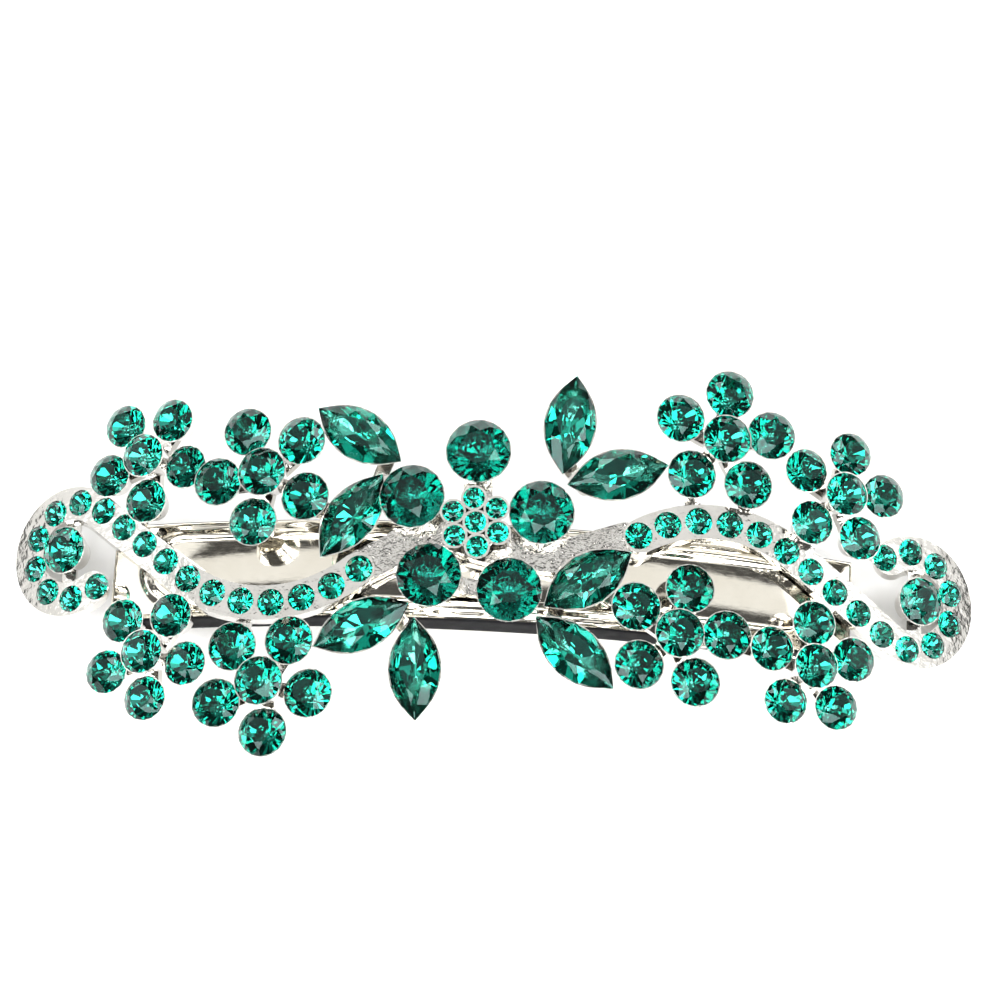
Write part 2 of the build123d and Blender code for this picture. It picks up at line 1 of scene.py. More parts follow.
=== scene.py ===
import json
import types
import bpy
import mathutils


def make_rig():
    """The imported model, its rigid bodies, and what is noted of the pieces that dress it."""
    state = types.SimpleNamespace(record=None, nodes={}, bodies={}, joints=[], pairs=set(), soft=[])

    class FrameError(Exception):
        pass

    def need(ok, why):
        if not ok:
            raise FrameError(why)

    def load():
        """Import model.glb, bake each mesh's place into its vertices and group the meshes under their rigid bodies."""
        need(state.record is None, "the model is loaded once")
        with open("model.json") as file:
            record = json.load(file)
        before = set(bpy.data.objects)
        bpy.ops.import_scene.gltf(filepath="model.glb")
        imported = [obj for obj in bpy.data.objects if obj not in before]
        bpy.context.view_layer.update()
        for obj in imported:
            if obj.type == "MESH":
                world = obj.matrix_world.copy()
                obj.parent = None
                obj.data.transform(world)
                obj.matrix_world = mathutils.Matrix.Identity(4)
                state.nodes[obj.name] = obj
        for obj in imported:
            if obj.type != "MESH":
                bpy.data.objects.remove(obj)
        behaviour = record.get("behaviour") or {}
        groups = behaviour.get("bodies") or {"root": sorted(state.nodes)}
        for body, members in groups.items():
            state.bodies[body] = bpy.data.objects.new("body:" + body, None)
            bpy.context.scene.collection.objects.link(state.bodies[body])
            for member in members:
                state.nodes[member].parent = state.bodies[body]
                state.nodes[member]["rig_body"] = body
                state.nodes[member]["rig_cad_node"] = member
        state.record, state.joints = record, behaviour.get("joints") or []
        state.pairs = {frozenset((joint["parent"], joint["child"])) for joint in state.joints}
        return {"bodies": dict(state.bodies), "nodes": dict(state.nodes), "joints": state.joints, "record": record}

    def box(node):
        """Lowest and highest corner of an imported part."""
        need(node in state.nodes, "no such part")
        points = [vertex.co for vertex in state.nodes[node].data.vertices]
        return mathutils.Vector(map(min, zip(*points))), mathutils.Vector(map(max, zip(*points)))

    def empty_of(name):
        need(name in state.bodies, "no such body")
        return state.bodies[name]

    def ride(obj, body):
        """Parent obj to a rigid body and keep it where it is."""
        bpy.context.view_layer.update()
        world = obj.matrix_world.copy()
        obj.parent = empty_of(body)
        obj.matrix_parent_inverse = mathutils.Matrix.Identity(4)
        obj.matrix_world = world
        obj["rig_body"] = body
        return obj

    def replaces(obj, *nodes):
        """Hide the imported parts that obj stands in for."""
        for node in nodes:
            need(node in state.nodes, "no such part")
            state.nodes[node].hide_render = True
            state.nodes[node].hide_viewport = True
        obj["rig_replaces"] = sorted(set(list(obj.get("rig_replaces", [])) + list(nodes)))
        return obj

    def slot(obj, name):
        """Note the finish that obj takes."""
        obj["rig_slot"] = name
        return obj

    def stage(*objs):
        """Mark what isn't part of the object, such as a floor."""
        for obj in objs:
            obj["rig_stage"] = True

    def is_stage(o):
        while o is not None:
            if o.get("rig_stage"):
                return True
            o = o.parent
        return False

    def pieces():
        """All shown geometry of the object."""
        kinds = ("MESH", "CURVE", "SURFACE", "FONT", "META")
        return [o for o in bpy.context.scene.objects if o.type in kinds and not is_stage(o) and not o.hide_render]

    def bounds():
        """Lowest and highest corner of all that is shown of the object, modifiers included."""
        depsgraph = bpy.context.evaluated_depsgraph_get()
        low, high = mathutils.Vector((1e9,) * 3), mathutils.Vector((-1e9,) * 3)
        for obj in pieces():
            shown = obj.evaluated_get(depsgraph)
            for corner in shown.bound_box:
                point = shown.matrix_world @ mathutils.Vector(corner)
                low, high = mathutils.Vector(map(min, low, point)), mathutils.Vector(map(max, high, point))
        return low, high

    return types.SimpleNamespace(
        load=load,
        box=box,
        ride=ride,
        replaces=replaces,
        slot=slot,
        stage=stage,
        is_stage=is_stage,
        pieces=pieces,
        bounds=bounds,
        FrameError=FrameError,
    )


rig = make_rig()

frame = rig.load()

import json
import math

import bpy
import numpy as np
from mathutils import Matrix, Vector

# Looks of the rhinestone hair clip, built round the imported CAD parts. Metres. +X runs along the
# clip from its hinge to its clasp, and +Z out of the stones.

bl_info = {
    "name": "Rhinestone hair clip",
    "version": (1, 0, 0),
    "blender": (4, 5, 0),
    "location": "3D View > Sidebar > Hair clip",
    "description": "Builds the stones, castings and steel of a rhinestone hair clip",
    "category": "Add Mesh",
}

MM = 0.001
ORNAMENT = "clip_base"
START_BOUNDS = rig.bounds()

# The base plate's pressed shape.
PLATE_RADIUS = 91.64 * MM
PLATE_SHEET = 0.7 * MM
PLATE_WALL = 4.0 * MM
SHOULDER = 0.6 * MM
BEAD_HEIGHT = 0.3 * MM
BEAD_HALF_WIDTH = 0.75 * MM
BEAD_INSET = 1.6 * MM
BEAD_END_GAP = 3.5 * MM
DISH_RISE = 0.2 * MM
PLATE_ROWS = 220
WALL_CORNERS = 7
BEND_CORNERS = 8
TOP_CORNERS = 35
# Columns of faces at each side wall that take the near-black painted shade.
PAINTED_SHADE_COLUMNS = 10

SHARP_ANGLE = math.radians(35)
BEVEL_ANGLE = math.radians(40)

STONE_NODES = sorted(name for name in frame["nodes"] if "stone" in name)
CASTING_NODES = sorted(
    name for name in frame["nodes"] if name.endswith(("_flower", "_leaves", "_scroll"))
)
STEEL_NODES = ["clasp_bracket", "hinge_pin", "swing_arm"]
SPRING_NODES = ["tension_bar", "front_clasp_finger", "back_clasp_finger"]


# ---- Colours and shader nodes ----

def linear(code, alpha=1.0):
    """An sRGB hex colour as the linear values that shaders take."""
    parts = [int(code[k:k + 2], 16) / 255 for k in (1, 3, 5)]
    parts = [p / 12.92 if p <= 0.04045 else ((p + 0.055) / 1.055) ** 2.4 for p in parts]
    return (*parts, alpha)


def add_node(tree, kind, inputs=None, **options):
    """Adds a node, sets its options, and fills or links its inputs."""
    made = tree.nodes.new(kind)
    for key, value in options.items():
        setattr(made, key, value)
    for key, value in (inputs or {}).items():
        if isinstance(value, bpy.types.NodeSocket):
            tree.links.new(value, made.inputs[key])
        else:
            made.inputs[key].default_value = value
    return made


def new_material(name):
    """A material with an empty Principled surface: (material, tree, shader)."""
    material = bpy.data.materials.new(name)
    material.use_nodes = True
    tree = material.node_tree
    tree.nodes.clear()
    shader = tree.nodes.new("ShaderNodeBsdfPrincipled")
    add_node(tree, "ShaderNodeOutputMaterial", {"Surface": shader.outputs["BSDF"]})
    return material, tree, shader


def noise(tree, size, detail=2.0, stretch=(1, 1, 1)):
    """Noise with features of about that size in metres, in object coordinates."""
    place = add_node(tree, "ShaderNodeTexCoord").outputs["Object"]
    scaled = add_node(tree, "ShaderNodeMapping", {"Vector": place, "Scale": stretch})
    options = {"Vector": scaled.outputs["Vector"], "Scale": 1 / size, "Detail": detail}
    return add_node(tree, "ShaderNodeTexNoise", options).outputs["Fac"]


def ranged(tree, value, low, high):
    """Spreads a noise value over low to high."""
    options = {"Value": value, "From Min": 0.3, "From Max": 0.7, "To Min": low, "To Max": high}
    return add_node(tree, "ShaderNodeMapRange", options).outputs["Result"]


def mixed(tree, share, first, second):
    """A colour between two others."""
    mix = add_node(tree, "ShaderNodeMix", data_type="RGBA")
    tree.links.new(share, mix.inputs["Factor"])
    mix.inputs[6].default_value = first
    mix.inputs[7].default_value = second
    return mix.outputs[2]


# ---- Materials ----

def glass_crown():
    """Emerald crystal glass, polished: clear, strongly tinted, with a bright surface reflection."""
    material, tree, shader = new_material("emerald_crystal_glass")
    tone = add_node(tree, "ShaderNodeAttribute", attribute_name="stone_tone").outputs["Fac"]
    tint = mixed(tree, tone, linear("#177268"), linear("#5CCBBB"))
    tree.links.new(tint, shader.inputs["Base Color"])
    shader.inputs["Roughness"].default_value = 0.0
    shader.inputs["IOR"].default_value = 1.56
    shader.inputs["Transmission Weight"].default_value = 1.0
    shader.inputs["Specular Tint"].default_value = linear("#A0B8B6")
    return material


def foil_back():
    """Green mirror foil painted on the back facets of the stones. The green is the foil's own; its random lightness
    from facet to facet is painted sparkle.
    """
    material, tree, shader = new_material("emerald_mirror_foil")
    tone = add_node(tree, "ShaderNodeAttribute", attribute_name="facet_sparkle").outputs["Fac"]
    tint = mixed(tree, tone, linear("#52A59B"), linear("#95E8DE"))
    tree.links.new(tint, shader.inputs["Base Color"])
    shader.inputs["Metallic"].default_value = 1.0
    rough = ranged(tree, noise(tree, 0.6 * MM), 0.0, 0.03)
    tree.links.new(rough, shader.inputs["Roughness"])
    return material


def silver_plate(name, lump, height):
    """Bright rhodium-silver plating over a zinc casting, with the casting's lumps under it."""
    material, tree, shader = new_material(name)
    tint = mixed(tree, noise(tree, 3.0 * MM), linear("#BDBAB3"), linear("#E0DED9"))
    tree.links.new(tint, shader.inputs["Base Color"])
    shader.inputs["Metallic"].default_value = 1.0
    rough = ranged(tree, noise(tree, 0.8 * MM, 4.0), 0.05, 0.16)
    tree.links.new(rough, shader.inputs["Roughness"])
    relief = {"Height": noise(tree, lump, 3.0), "Strength": 1.0, "Distance": height}
    bump = add_node(tree, "ShaderNodeBump", relief)
    tree.links.new(bump.outputs["Normal"], shader.inputs["Normal"])
    return material


def nickel_steel():
    """Nickel-plated stamped steel with fine drawing lines along the clip."""
    material, tree, shader = new_material("nickel_plated_steel")
    wear = noise(tree, 6.0 * MM, 4.0)
    tree.links.new(mixed(tree, wear, linear("#CFC8B8"), linear("#EFEBE0")), shader.inputs["Base Color"])
    shader.inputs["Metallic"].default_value = 1.0
    lines = noise(tree, 0.25 * MM, 3.0, (0.06, 1, 1))
    tree.links.new(ranged(tree, lines, 0.04, 0.12), shader.inputs["Roughness"])
    bump = add_node(tree, "ShaderNodeBump", {"Height": lines, "Strength": 0.4, "Distance": 0.004 * MM})
    tree.links.new(bump.outputs["Normal"], shader.inputs["Normal"])
    return material


def spring_steel():
    """Blank tempered spring steel, greyer and less even than the plated parts."""
    material, tree, shader = new_material("spring_steel")
    wear = noise(tree, 2.0 * MM, 5.0)
    tree.links.new(mixed(tree, wear, linear("#9A9894"), linear("#C4C2BE")), shader.inputs["Base Color"])
    shader.inputs["Metallic"].default_value = 1.0
    tree.links.new(ranged(tree, noise(tree, 0.4 * MM, 3.0), 0.15, 0.3), shader.inputs["Roughness"])
    return material


def tin_solder():
    """Dull tin solder with a frosted, slightly rippled skin."""
    material, tree, shader = new_material("tin_solder")
    wear = noise(tree, 0.7 * MM, 3.0)
    tree.links.new(mixed(tree, wear, linear("#A9A7A2"), linear("#CFCDC8")), shader.inputs["Base Color"])
    shader.inputs["Metallic"].default_value = 1.0
    tree.links.new(ranged(tree, wear, 0.25, 0.45), shader.inputs["Roughness"])
    bump = add_node(tree, "ShaderNodeBump", {"Height": wear, "Strength": 0.6, "Distance": 0.03 * MM})
    tree.links.new(bump.outputs["Normal"], shader.inputs["Normal"])
    return material


def painted_wall_shade():
    """Painted shade on the clip's side walls: near-black and a little uneven, for the shade along the clip's
    underside.
    """
    material, tree, shader = new_material("painted_wall_shade")
    # The noise only spreads the painted shade between two near-blacks.
    wear = noise(tree, 1.5 * MM, 4.0)
    tree.links.new(mixed(tree, wear, linear("#0B0B0C"), linear("#1D1D1F")), shader.inputs["Base Color"])
    tree.links.new(ranged(tree, wear, 0.6, 0.75), shader.inputs["Roughness"])
    shader.inputs["Specular IOR Level"].default_value = 0.05
    return material


# ---- Reading the CAD meshes ----

def joined(name):
    """A CAD node's corners and triangles, with its loose triangles joined at shared corners."""
    mesh = frame["nodes"][name].data
    corners = np.empty(len(mesh.vertices) * 3, np.float32)
    mesh.vertices.foreach_get("co", corners)
    corners = corners.reshape(-1, 3).astype(float)
    mesh.calc_loop_triangles()
    triangles = np.empty(len(mesh.loop_triangles) * 3, np.int32)
    mesh.loop_triangles.foreach_get("vertices", triangles)
    keys = np.round(corners / (0.001 * MM)).astype(np.int64)
    found, first, back = np.unique(keys, axis=0, return_index=True, return_inverse=True)
    return corners[first], back.reshape(-1)[triangles].reshape(-1, 3)


def solids(name):
    """The corners of each separate solid in a CAD node."""
    corners, triangles = joined(name)
    label = np.arange(len(corners))
    while True:
        low = label[triangles].min(axis=1)
        spread = label.copy()
        np.minimum.at(spread, triangles.ravel(), np.repeat(low, 3))
        if (spread == label).all():
            return [corners[label == one] for one in np.unique(label)]
        label = spread


def stone_seat(corners):
    """Where a stone sits: its axes as columns (long, across, out), and its box in those axes.

    The axes are those in which its corners spread most and least. The last one points up.
    """
    spread, axes = np.linalg.eigh(np.cov((corners - corners.mean(axis=0)).T))
    out, long = axes[:, 0], axes[:, 2]
    if out[2] < 0:
        out = -out
    turn = np.column_stack([long, np.cross(out, long), out])
    local = corners @ turn
    low, high = local.min(axis=0), local.max(axis=0)
    return turn, low, high


# ---- Faceted stones ----

def gem_corners(shape, outline):
    """The rings of corners of a faceted stone, for one outline.

    Each ring is the outline, as a function of the angle round the stone, times a share of its size
    at one height: table, star tips, upper girdle, lower girdle and culet. The star tips lie half a
    step further round than the table's corners.
    """
    eight = np.arange(8) * math.tau / 8
    sixteen = np.arange(16) * math.tau / 16
    rings = [
        (eight, shape["table"], shape["top"]),
        (eight + math.tau / 16, shape["star"], shape["star_height"]),
        (sixteen, 1.0, shape["belt"]),
        (sixteen, 1.0, -shape["belt"]),
        (sixteen, shape["culet"], shape["bottom"]),
    ]
    parts = []
    for angles, share, height in rings:
        flat = outline(angles) * np.atleast_1d(share)
        parts.append(np.column_stack([flat, np.full(len(angles), height)]))
    return np.concatenate(parts)


def gem_faces():
    """The faces of a faceted stone over the corners of gem_corners, and which are back facets."""
    k = np.arange(8)
    after = (k + 1) % 8
    before = (k - 1) % 8
    j = np.arange(16)
    beyond = (j + 1) % 16
    table, star, upper, lower, culet = 0, 8, 16, 32, 48
    front_sets = [
        np.column_stack([table + k, star + k, table + after]),
        np.column_stack([table + k, star + before, upper + 2 * k, star + k]),
        np.column_stack([star + k, upper + 2 * k, upper + 2 * k + 1]),
        np.column_stack([star + k, upper + 2 * k + 1, upper + (2 * k + 2) % 16]),
        np.column_stack([upper + j, lower + j, lower + beyond, upper + beyond]),
    ]
    front = [tuple(table + k)] + [tuple(row) for group in front_sets for row in group.tolist()]
    slopes = np.column_stack([culet + j, culet + beyond, lower + beyond, lower + j])
    rear = [tuple(culet + j[::-1])] + [tuple(row) for row in slopes.tolist()]
    return front, rear


def circle(angles):
    """A circle of radius 1."""
    return np.column_stack([np.cos(angles), np.sin(angles)])


def pointed_oval(angles):
    """Two parabolas that meet in points at -1 and 1 along the first axis."""
    side = np.sin(angles)
    return np.column_stack([np.cos(angles), side * np.abs(side)])


# Shares of a stone's half size. Above and below are shares of its height, over and under the
# girdle, and star_height is a share of the height over it.
ROUND_SHAPE = {
    "table": 0.54,
    "star": 0.8,
    "culet": 0.03,
    "star_height": 0.56,
    "above": 0.225 / 0.645,
    "below": 0.42 / 0.645,
}
NAVETTE_SHAPE = {
    "table": 0.56,
    "star": 0.79,
    "culet": [0.32, 0.03],
    "star_height": 0.56,
    "above": 1.1 / 2.8,
    "below": 1.7 / 2.8,
}
NAVETTE_BELT = 0.1 * MM
ROUND_BELT_SHARE = 0.05
STONE_FILL = 1.02
LONG_RATIO = 1.3

# A round stone of this half size is the darkest, and one smaller by the reach is the palest.
DARKEST_HALF = 3.1 * MM
TONE_REACH = 2.0 * MM
TONE_CHANCE = 0.15

# The rims' tubes have this many sides, and sit outside the stones by this share of their radius.
RIM_SIDES = 6
RIM_SHIFT = 0.4


def add_piece(name, points, faces, materials, slot):
    """A mesh object that moves with the ornament and the base plate."""
    mesh = bpy.data.meshes.new(name)
    mesh.from_pydata(points.tolist(), [], faces)
    for material in materials:
        mesh.materials.append(material)
    mesh.update()
    made = bpy.data.objects.new(name, mesh)
    bpy.context.scene.collection.objects.link(made)
    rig.ride(made, ORNAMENT)
    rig.slot(made, slot)
    return made


def grid_faces(rows, columns, wrap_rows=False, wrap_columns=False):
    """The four-cornered faces of a grid of corners, row after row."""
    row = np.arange(rows if wrap_rows else rows - 1)[:, None]
    column = np.arange(columns if wrap_columns else columns - 1)[None, :]
    below, beside = (row + 1) % rows, (column + 1) % columns
    ends = [row * columns + column, below * columns + column]
    ends += [below * columns + beside, row * columns + beside]
    return np.stack([end.ravel() for end in ends], axis=1)


def build_rims(name, silver, settings):
    """The rolled rims of the cups under a node's stones, in one object.

    Each rim is a closed tube: the stone's outline, grown by the tube's radius times the sum of the
    shift and the cosine of the angle round the tube, at a height of that radius times the sine.
    """
    around = np.arange(settings.rim_steps) * math.tau / settings.rim_steps
    tube = np.arange(RIM_SIDES) * math.tau / RIM_SIDES
    pattern = grid_faces(len(around), len(tube), True, True)
    corners, faces = [], []
    for solid in solids(name):
        turn, low, high = stone_seat(solid)
        half = (high - low)[:2] / 2
        long_stone = half[0] > LONG_RATIO * half[1]
        outline = pointed_oval(around) if long_stone else circle(around)
        depth = (NAVETTE_SHAPE if long_stone else ROUND_SHAPE)["below"]
        grown = half[None, :] + settings.rim * (RIM_SHIFT + np.cos(tube))[:, None]
        flat = outline[:, None, :] * grown[None, :, :]
        height = np.broadcast_to(settings.rim * np.sin(tube), flat.shape[:2])
        points = np.concatenate([flat, height[:, :, None]], axis=2).reshape(-1, 3)
        points += [*((high + low)[:2] / 2), low[2] + depth * (high[2] - low[2])]
        faces.append(pattern + len(points) * len(corners))
        corners.append(points @ turn.T)
    faces = np.concatenate(faces)[:, ::-1].tolist()
    made = add_piece(name + "_rims", np.concatenate(corners), faces, [silver], "cast_silver")
    smooth(made)
    return made


def smooth(made):
    """Shades an object smooth, with an edge wherever faces meet more sharply than SHARP_ANGLE."""
    made.data.polygons.foreach_set("use_smooth", [True] * len(made.data.polygons))
    made.data.set_sharp_from_angle(angle=SHARP_ANGLE)


def build_casting(name, silver, settings):
    """A casting with its edges rounded off, as tumbling and plating leave them."""
    corners, triangles = joined(name)
    whole = (triangles != np.roll(triangles, 1, axis=1)).all(axis=1)
    made = add_piece(name + "_cast", corners, triangles[whole].tolist(), [silver], "cast_silver")
    smooth(made)
    bevel = made.modifiers.new("soft_edges", "BEVEL")
    bevel.width = settings.edge
    bevel.segments = 2
    bevel.limit_method = "ANGLE"
    bevel.angle_limit = BEVEL_ANGLE
    bevel.harden_normals = True
    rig.replaces(made, name)
    return made


def build_plate(bright, wall_shade_paint):
    """The base plate: a pressed channel with a bead round its top and a dish inside the bead.

    Along the clip it is an arc. Across it the profile climbs one wall, turns a round shoulder,
    crosses the top and goes down the other wall. The top rises as a raised cosine of the distance
    from the bead's line, a long oval, and inside that oval as a low parabola.
    """
    low, high = (np.array(corner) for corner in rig.box("base_plate"))
    half_width = (high[1] - low[1]) / 2
    half_angle = math.asin((high[0] - low[0]) / 2 / PLATE_RADIUS)
    bow = high[2] - BEAD_HEIGHT - PLATE_RADIUS
    wall = np.linspace(PLATE_WALL, SHOULDER, WALL_CORNERS)
    bend = np.radians(np.linspace(0, 90, BEND_CORNERS + 1))[1:]
    flat = np.linspace(-half_width + SHOULDER, 0, TOP_CORNERS + 1)[1:]
    side = np.concatenate([
        np.full(WALL_CORNERS, -half_width),
        -half_width + SHOULDER * (1 - np.cos(bend)),
        flat,
    ])
    drop = np.concatenate([wall, SHOULDER * (1 - np.sin(bend)), np.zeros(len(flat))])
    side = np.concatenate([side, -side[-2::-1]])
    drop = np.concatenate([drop, drop[-2::-1]])
    angle = np.linspace(-half_angle, half_angle, PLATE_ROWS)[:, None]
    along = PLATE_RADIUS * np.sin(angle)
    oval_half = half_width - BEAD_INSET
    straight = PLATE_RADIUS * math.sin(half_angle) - BEAD_END_GAP - oval_half
    past = np.maximum(np.abs(along) - straight, 0)
    reach = np.hypot(past, side[None, :])
    off = np.clip(np.abs(reach - oval_half) / BEAD_HALF_WIDTH, 0, 1)
    rise = BEAD_HEIGHT * (1 + np.cos(math.pi * off)) / 2
    rise = np.maximum(rise, DISH_RISE * np.clip(1 - (reach / oval_half) ** 2, 0, 1))
    rise = rise * (drop[None, :] == 0)
    radius = PLATE_RADIUS - drop[None, :] + rise
    points = np.stack([
        radius * np.sin(angle),
        np.broadcast_to(side[None, :], radius.shape),
        bow + radius * np.cos(angle),
    ], axis=2)
    faces = grid_faces(len(angle), len(side))
    points = points.reshape(-1, 3)
    made = add_piece("pressed_plate", points, faces.tolist(), [bright, wall_shade_paint], "nickel_steel")
    # Faces in the outer columns, the side walls, take the second material: near-black painted shade.
    column = np.tile(np.arange(len(side) - 1), len(angle) - 1)
    walls = (column < PAINTED_SHADE_COLUMNS) | (column >= len(side) - 1 - PAINTED_SHADE_COLUMNS)
    made.data.polygons.foreach_set("material_index", walls.astype(np.int32))
    smooth(made)
    shell = made.modifiers.new("sheet", "SOLIDIFY")
    shell.thickness = PLATE_SHEET
    shell.offset = -1.0
    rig.replaces(made, "base_plate")
    return made


def build_stones(name, glass, foil, settings, seed):
    """One object with every faceted stone of a CAD node, each spun and tilted a little by chance."""
    chance = np.random.default_rng(seed)
    front, rear = gem_faces()
    corners, faces, rear_flags, stone_tones, facet_sparkles = [], [], [], [], []
    for solid in solids(name):
        turn, low, high = stone_seat(solid)
        half = (high - low) / 2
        centre = (high + low) / 2
        long_stone = half[0] > LONG_RATIO * half[1]
        if long_stone:
            belt = NAVETTE_BELT
            shape, outline = dict(NAVETTE_SHAPE), pointed_oval
            spin = 0.0
        else:
            half[:2] = half[:2].max()
            belt = ROUND_BELT_SHARE * half[0]
            shape, outline = dict(ROUND_SHAPE), circle
            spin = chance.uniform(0, math.tau)
        tall = high[2] - low[2]
        girdle = low[2] + shape["below"] * tall
        top, bottom = shape["above"] * tall, -shape["below"] * tall
        shape["star_height"] = belt + shape["star_height"] * (top - belt)
        shape.update(belt=belt, top=top, bottom=bottom)
        points = gem_corners(shape, outline)
        points[:, :2] *= half[:2] * STONE_FILL
        tilt = chance.uniform(-1, 1, 2) * settings.tilt
        wobble = Matrix.Rotation(tilt[0], 3, "X") @ Matrix.Rotation(tilt[1], 3, "Y")
        wobble = np.array(wobble @ Matrix.Rotation(spin, 3, "Z"))
        points = points @ wobble.T
        points += [centre[0], centre[1], girdle]
        start = len(points) * len(corners)
        corners.append(points @ turn.T)
        faces += [tuple(c + start for c in face) for face in front + rear]
        rear_flags += [0] * len(front) + [1] * len(rear)
        size_tone = 1.0 if long_stone else (DARKEST_HALF - half[0]) / TONE_REACH
        chance_tone = chance.uniform(-TONE_CHANCE, TONE_CHANCE)
        stone_tones += [size_tone + chance_tone] * (len(front) + len(rear))
        # A random lightness for each facet's foil: painted sparkle.
        facet_sparkles += chance.uniform(size=len(front) + len(rear)).tolist()
    made = add_piece(name + "_cut", np.concatenate(corners), faces, [glass, foil], "emerald_glass")
    made.data.polygons.foreach_set("material_index", rear_flags)
    for key, values in (("stone_tone", stone_tones), ("facet_sparkle", facet_sparkles)):
        made.data.attributes.new(key, "FLOAT", "FACE").data.foreach_set("value", values)
    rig.replaces(made, name)
    return made


def paint(name, material):
    """Gives a CAD node its material."""
    mesh = frame["nodes"][name].data
    mesh.materials.clear()
    mesh.materials.append(material)


# ---- Settings ----

class StoneSettings(bpy.types.PropertyGroup):
    """How the stones are set."""

    tilt: bpy.props.FloatProperty(
        name="Tilt",
        description="Greatest chance tilt of a stone in its cup",
        default=math.radians(1.6),
        unit="ROTATION",
    )
    seed: bpy.props.IntProperty(
        name="Seed",
        description="Number that fixes the chance spin and tilt of the stones",
        default=7,
    )


class MetalSettings(bpy.types.PropertyGroup):
    """The castings' and the clip's surface."""

    edge: bpy.props.FloatProperty(
        name="Edge",
        description="Width of the rounding along the castings' edges",
        default=0.07 * MM,
        unit="LENGTH",
    )
    rim: bpy.props.FloatProperty(
        name="Rim",
        description="Radius of the rolled rim of each cup",
        default=0.055 * MM,
        unit="LENGTH",
    )
    rim_steps: bpy.props.IntProperty(
        name="Rim steps",
        description="Faces round each cup's rim",
        default=24,
    )
    cast_lump: bpy.props.FloatProperty(
        name="Casting lump",
        description="Width of the lumps in the plated castings",
        default=0.9 * MM,
        unit="LENGTH",
    )
    cast_relief: bpy.props.FloatProperty(
        name="Casting relief",
        description="Height of the lumps in the plated castings",
        default=0.06 * MM,
        unit="LENGTH",
    )
    nugget_lump: bpy.props.FloatProperty(
        name="Nugget lump",
        description="Width of the lumps in the branch at the middle",
        default=0.7 * MM,
        unit="LENGTH",
    )
    nugget_relief: bpy.props.FloatProperty(
        name="Nugget relief",
        description="Height of the lumps in the branch at the middle",
        default=0.12 * MM,
        unit="LENGTH",
    )


class StageSettings(bpy.types.PropertyGroup):
    """Floor, light and camera."""

    lamp_power: bpy.props.FloatProperty(
        name="Lamp power",
        description="Light from a full-brightness lamp, in watts per square metre of it",
        default=34.0,
    )
    horizon: bpy.props.FloatProperty(
        name="Horizon",
        description="Brightness of the studio walls",
        default=0.15,
    )
    ceiling: bpy.props.FloatProperty(
        name="Ceiling",
        description="Brightness of the studio ceiling",
        default=0.09,
    )
    camera_reach: bpy.props.FloatProperty(
        name="Camera reach",
        description="Distance of the camera from the crown of the ornament",
        default=0.35,
        unit="LENGTH",
    )
    lens: bpy.props.FloatProperty(
        name="Lens",
        description="Focal length in millimetres for a sensor 36 mm wide",
        default=129.8,
    )


# ---- Operators ----

class HAIRCLIP_OT_stones(bpy.types.Operator):
    """Cuts every glass stone and lays it in its cup."""

    bl_idname = "hairclip.stones"
    bl_label = "Build the stones"

    def execute(self, context):
        settings = context.scene.hairclip_stones
        glass, foil = glass_crown(), foil_back()
        for k, name in enumerate(STONE_NODES):
            build_stones(name, glass, foil, settings, settings.seed + k)
        return {"FINISHED"}


class HAIRCLIP_OT_castings(bpy.types.Operator):
    """Rounds off and plates the castings, and rolls the cups' rims."""

    bl_idname = "hairclip.castings"
    bl_label = "Plate the castings"

    def execute(self, context):
        settings = context.scene.hairclip_metal
        plain = silver_plate("silver_plated_casting", settings.cast_lump, settings.cast_relief)
        rough = silver_plate("silver_plated_nuggets", settings.nugget_lump, settings.nugget_relief)
        for name in CASTING_NODES:
            build_casting(name, plain, settings)
        build_casting("centre_branch", rough, settings)
        for name in STONE_NODES:
            build_rims(name, plain, settings)
        return {"FINISHED"}


class HAIRCLIP_OT_clip(bpy.types.Operator):
    """Presses the base plate and finishes the clip's steel and its solder."""

    bl_idname = "hairclip.clip"
    bl_label = "Plate the clip"

    def execute(self, context):
        bright, spring, solder = nickel_steel(), spring_steel(), tin_solder()
        # The plate's side walls take the near-black painted shade.
        build_plate(bright, painted_wall_shade())
        for name in STEEL_NODES:
            paint(name, bright)
        for name in SPRING_NODES:
            paint(name, spring)
        paint("solder_pads", solder)
        return {"FINISHED"}


class HAIRCLIP_OT_stage(bpy.types.Operator):
    """Sets up the floor, the light and the camera."""

    bl_idname = "hairclip.stage"
    bl_label = "Set the stage"

    def execute(self, context):
        settings = context.scene.hairclip_stage
        scene = context.scene
        add_floor()
        add_walls(scene, settings)
        add_lamps(settings)
        add_camera(scene, settings)
        scene.view_settings.view_transform = "Standard"
        return {"FINISHED"}


# ---- Floor, light and camera ----

FLOOR_HALF = 3.0
FLOOR_DEPTH = -0.05 * MM
WALL_TOP = math.radians(14)
CEILING_EDGE = math.radians(34)

# The camera's turns in degrees about X, Y and Z, where it aims, and the point it turns about.
CAMERA_TURNS = (16.0, 3.0, 3.6)
CAMERA_SHIFT = (2.3 * MM, 5.3 * MM)
CAMERA_PIVOT = (0, 0.8 * MM, 17.04 * MM)


def add_floor():
    """A wide matt white floor just under the clip."""
    material, tree, shader = new_material("matt_white_paper")
    tint = mixed(tree, noise(tree, 40 * MM), linear("#F4F4F3"), linear("#FAFAFA"))
    tree.links.new(tint, shader.inputs["Base Color"])
    shader.inputs["Roughness"].default_value = 0.9
    mesh = bpy.data.meshes.new("floor")
    signs = [(-1, -1), (1, -1), (1, 1), (-1, 1)]
    square = [(x * FLOOR_HALF, y * FLOOR_HALF, FLOOR_DEPTH) for x, y in signs]
    mesh.from_pydata(square, [], [(0, 1, 2, 3)])
    mesh.materials.append(material)
    floor = bpy.data.objects.new("floor", mesh)
    bpy.context.scene.collection.objects.link(floor)
    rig.stage(floor)


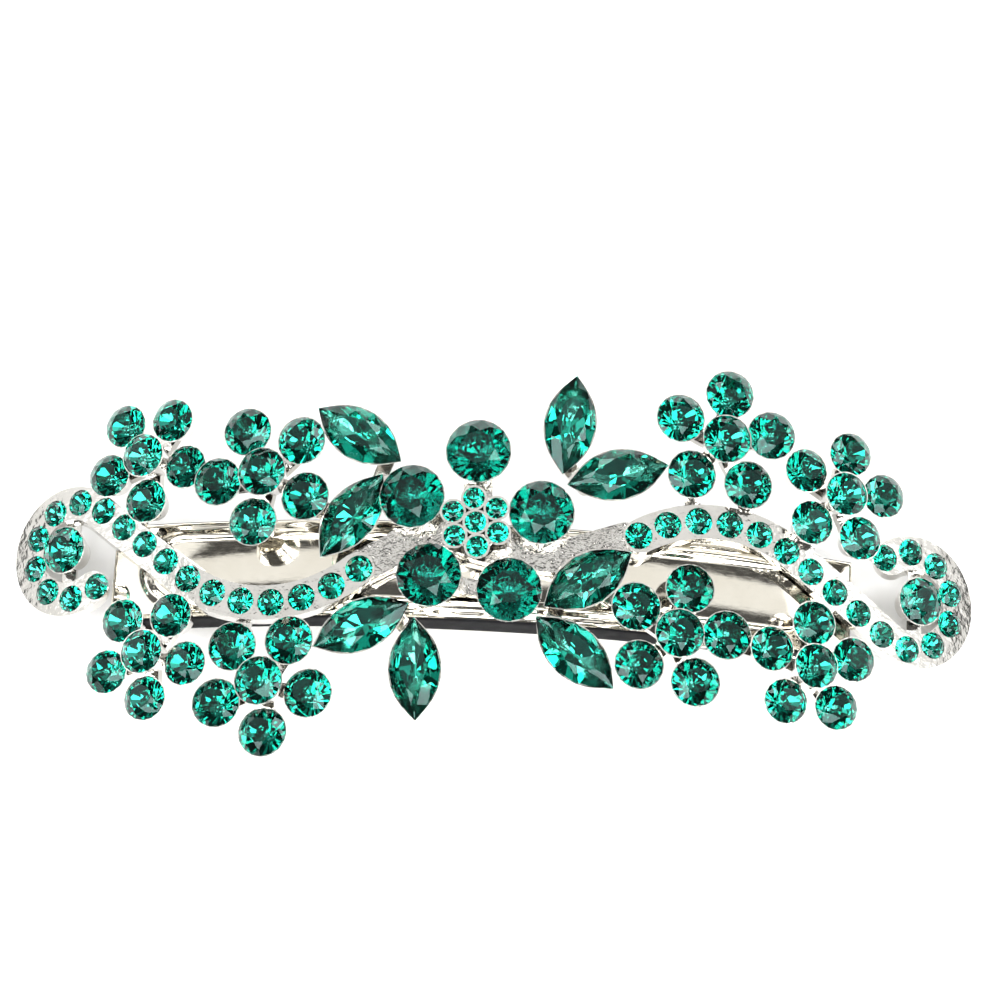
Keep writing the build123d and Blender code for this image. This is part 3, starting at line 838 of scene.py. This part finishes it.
def add_walls(scene, settings):
    """Pale studio walls all round that darken to the ceiling."""
    world = bpy.data.worlds.new("studio_walls")
    scene.world = world
    world.use_nodes = True
    tree = world.node_tree
    tree.nodes.clear()
    place = add_node(tree, "ShaderNodeTexCoord").outputs["Generated"]
    height = add_node(tree, "ShaderNodeSeparateXYZ", {"Vector": place}).outputs["Z"]
    options = {
        "Value": height,
        "From Min": math.sin(WALL_TOP),
        "From Max": math.sin(CEILING_EDGE),
        "To Min": settings.horizon,
        "To Max": settings.ceiling,
    }
    level = add_node(tree, "ShaderNodeMapRange", options, interpolation_type="SMOOTHSTEP")
    glow = {"Color": linear("#FFFFFF"), "Strength": level.outputs["Result"]}
    back = add_node(tree, "ShaderNodeBackground", glow)
    add_node(tree, "ShaderNodeOutputWorld", {"Surface": back.outputs["Background"]})


# Azimuth and elevation in degrees, width and height in metres, and brightness of each lamp. The
# bright ones are softboxes with dark gaps between them. The small bright ones by the camera light
# the stones' middles, and the dim wide ones are seen in the flats of the castings.
LAMPS = [
    (28, 40, 0.34, 0.20, 1.0),
    (78, 36, 0.30, 0.22, 1.0),
    (152, 38, 0.28, 0.20, 1.0),
    (206, 36, 0.28, 0.20, 1.0),
    (292, 36, 0.30, 0.22, 1.0),
    (335, 44, 0.20, 0.20, 1.0),
    (66, 64, 0.18, 0.14, 1.0),
    (300, 66, 0.16, 0.16, 1.0),
    (352, 61, 0.13, 0.10, 1.0),
    (36, 76, 0.09, 0.12, 1.0),
    (322, 80, 0.10, 0.08, 1.0),
    (180, 73, 2.20, 0.16, 0.1),
    (252, 29, 0.40, 0.26, 0.11),
    (109, 33, 0.40, 0.26, 0.11),
]
LAMP_REACH = 0.62


def add_lamps(settings):
    """Square lamps round the clip, all turned to its middle."""
    for k, (azimuth, elevation, width, height, share) in enumerate(LAMPS):
        lamp = bpy.data.lights.new(f"lamp_{k}", "AREA")
        lamp.shape = "RECTANGLE"
        lamp.size = width
        lamp.size_y = height
        lamp.energy = settings.lamp_power * share * width * height
        a, e = math.radians(azimuth), math.radians(elevation)
        away = Vector((math.sin(a) * math.cos(e), -math.cos(a) * math.cos(e), math.sin(e)))
        held = bpy.data.objects.new(f"lamp_{k}", lamp)
        held.location = away * LAMP_REACH
        held.rotation_euler = away.to_track_quat("Z", "Y").to_euler()
        bpy.context.scene.collection.objects.link(held)


def add_camera(scene, settings):
    """A long lens above the stones, tipped back and turned a little."""
    about_x, about_y, about_z = (
        Matrix.Rotation(math.radians(angle), 3, axis) for angle, axis in zip(CAMERA_TURNS, "XYZ")
    )
    turn = about_y @ about_x @ about_z
    aim = Vector((*CAMERA_SHIFT, settings.camera_reach))
    lens = bpy.data.cameras.new("camera")
    lens.lens = settings.lens
    lens.sensor_width = 36.0
    lens.clip_start = 0.01
    lens.clip_end = 20.0
    camera = bpy.data.objects.new("camera", lens)
    camera.location = turn @ aim + Vector(CAMERA_PIVOT)
    camera.rotation_euler = turn.to_euler()
    scene.collection.objects.link(camera)
    scene.camera = camera


# ---- Panel and registering ----

class HAIRCLIP_PT_panel(bpy.types.Panel):
    """The add-on's buttons and settings."""

    bl_label = "Hair clip"
    bl_idname = "HAIRCLIP_PT_panel"
    bl_space_type = "VIEW_3D"
    bl_region_type = "UI"
    bl_category = "Hair clip"

    def draw(self, context):
        scene = context.scene
        for operator, group in STEPS:
            self.layout.operator(operator.bl_idname)
            for key in getattr(scene, group).bl_rna.properties.keys() if group else ():
                if key not in ("rna_type", "name"):
                    self.layout.prop(getattr(scene, group), key)


STEPS = [
    (HAIRCLIP_OT_stones, "hairclip_stones"),
    (HAIRCLIP_OT_castings, "hairclip_metal"),
    (HAIRCLIP_OT_clip, None),
    (HAIRCLIP_OT_stage, "hairclip_stage"),
]
GROUPS = {
    "hairclip_stones": StoneSettings,
    "hairclip_metal": MetalSettings,
    "hairclip_stage": StageSettings,
}


def register():
    """Registers the settings, operators and panel."""
    for key, group in GROUPS.items():
        bpy.utils.register_class(group)
        setattr(bpy.types.Scene, key, bpy.props.PointerProperty(type=group))
    for operator, group in STEPS:
        bpy.utils.register_class(operator)
    bpy.utils.register_class(HAIRCLIP_PT_panel)


def unregister():
    """Takes back what register added."""
    bpy.utils.unregister_class(HAIRCLIP_PT_panel)
    for operator, group in reversed(STEPS):
        bpy.utils.unregister_class(operator)
    for key, group in GROUPS.items():
        delattr(bpy.types.Scene, key)
        bpy.utils.unregister_class(group)


def main():
    """Builds the whole clip and writes its size."""
    register()
    bpy.ops.hairclip.stones()
    bpy.ops.hairclip.castings()
    bpy.ops.hairclip.clip()
    bpy.ops.hairclip.stage()
    sizes = {
        "start": [list(corner) for corner in START_BOUNDS],
        "end": [list(corner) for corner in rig.bounds()],
    }
    with open("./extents.json", "w") as file:
        json.dump(sizes, file)


if __name__ == "__main__":
    main()
